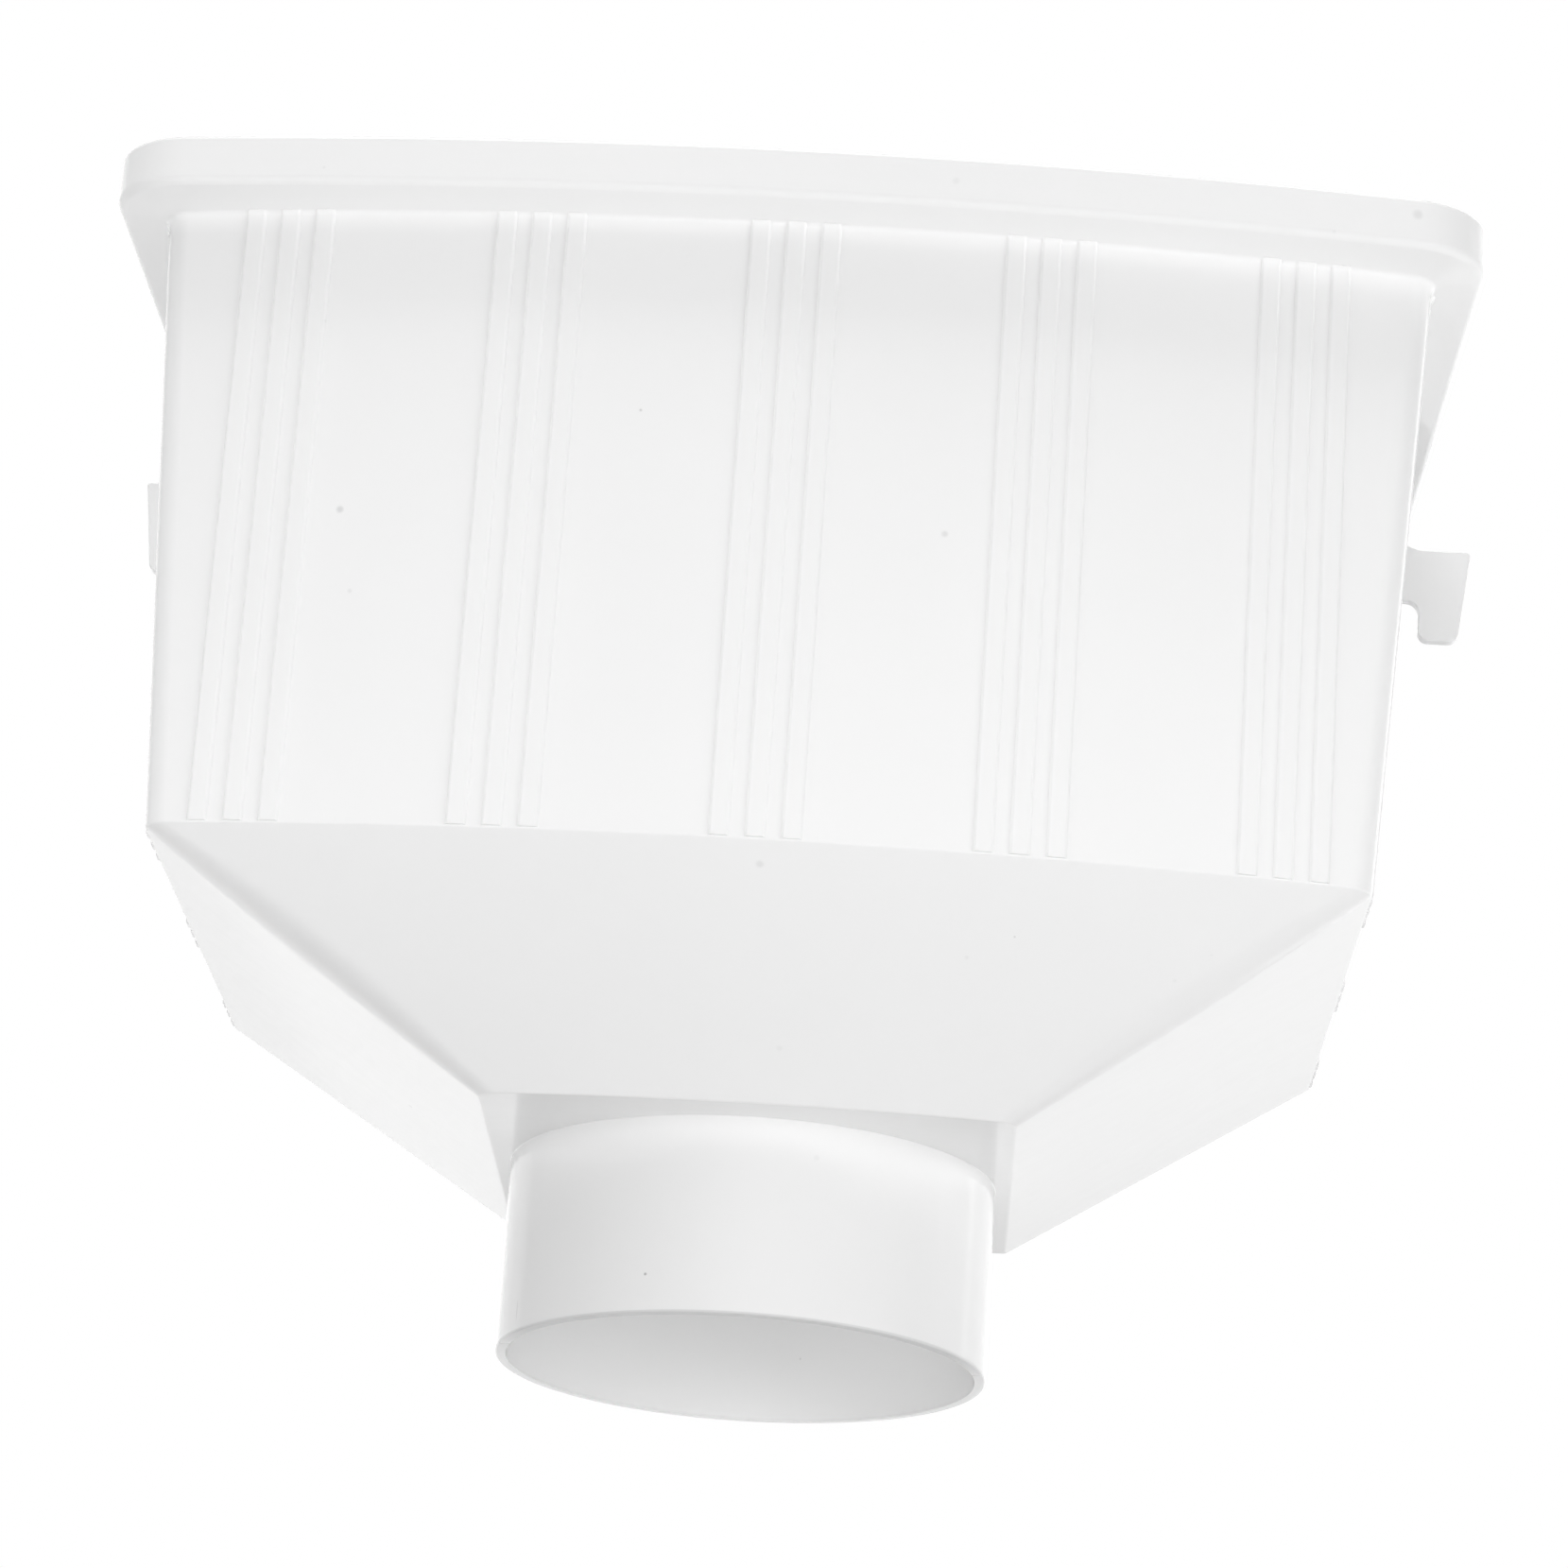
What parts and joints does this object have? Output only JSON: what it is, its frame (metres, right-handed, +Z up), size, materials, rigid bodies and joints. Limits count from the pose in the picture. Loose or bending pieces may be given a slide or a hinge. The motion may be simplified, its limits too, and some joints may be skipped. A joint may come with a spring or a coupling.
{
  "type": "rainwater hopper head",
  "caption": "Open-topped rainwater hopper head with a stepped rim, raised wall ribs, a sloped underside, a round outlet spigot for a downpipe and hook lugs against the wall.",
  "frame": {"origin": "centre of the lower end of the outlet spigot", "axes": "+X to the right across the front, +Y from the front to the wall, +Z up along the outlet"},
  "size_m": [0.3264, 0.1816, 0.2421],
  "materials": {
    "upvc": "glossy white moulded rigid plastic"
  },
  "bodies": {
    "root": {"hopper": "upvc"}
  },
  "joints": []
}
